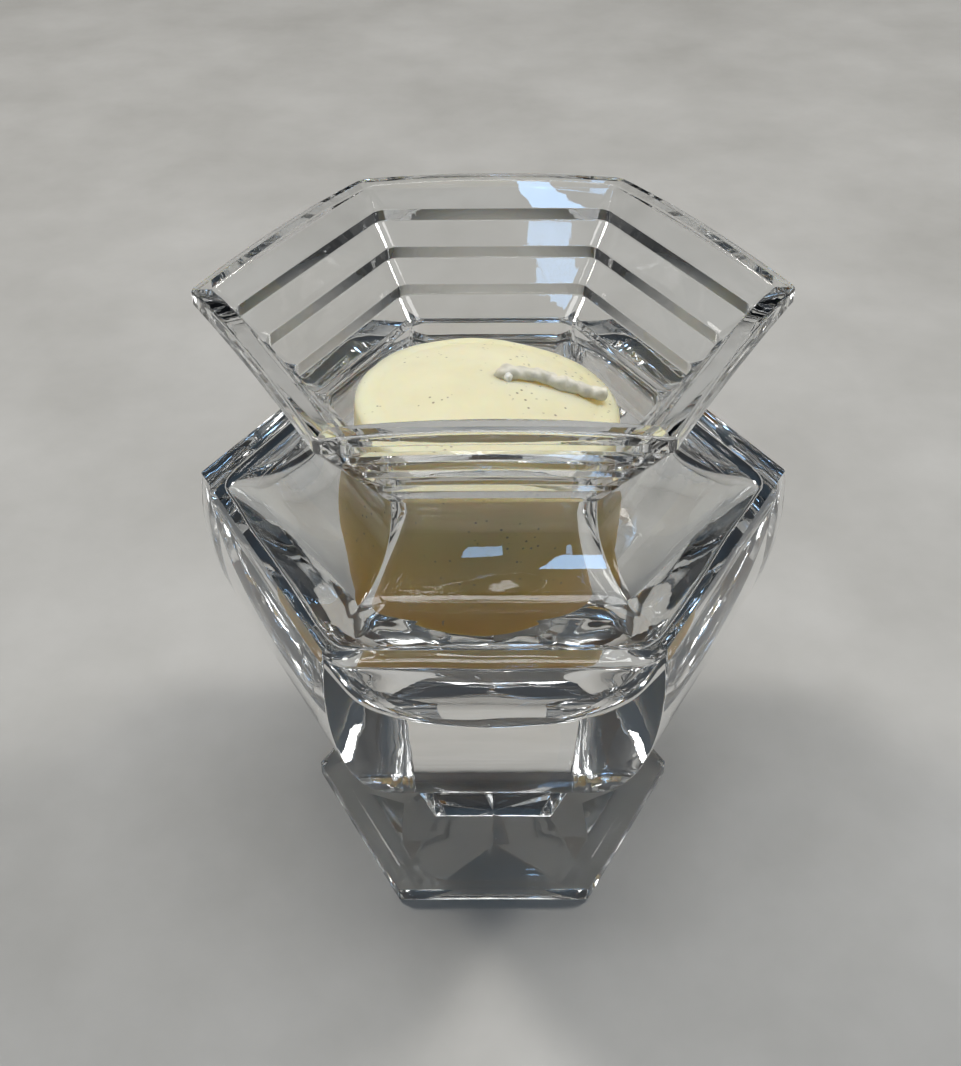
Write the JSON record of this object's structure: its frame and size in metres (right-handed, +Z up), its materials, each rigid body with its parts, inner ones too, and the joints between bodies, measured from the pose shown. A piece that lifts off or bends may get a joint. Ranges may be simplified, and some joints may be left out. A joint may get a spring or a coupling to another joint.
{
  "type": "candle holder",
  "caption": "Faceted hexagonal crystal candle holder: footed bowl, curved shoulder and stepped flaring collar, with a used votive candle standing in its cup.",
  "frame": {"origin": "centre of the underside, on the plane the holder stands on", "axes": "+Z up out of the cup's mouth, +X through a corner of the hexagon, -Y out of the front flat"},
  "size_m": [0.106, 0.092, 0.121],
  "materials": {
    "crystal": "polished clear lead crystal",
    "wax": "satin, once burned and set again",
    "wick": "waxed braided cotton",
    "tin": "stamped tinplate"
  },
  "bodies": {
    "holder": {"crystal_holder": "crystal"},
    "candle": {"candle_wax": "wax", "candle_wick": "wick", "wick_tab": "tin"}
  },
  "joints": [
    {"name": "candle_lift", "type": "slide", "parent": "holder", "child": "candle", "axis": [0.0799, 0.056, 0.9952], "range_m": [0, 0.07]}
  ]
}
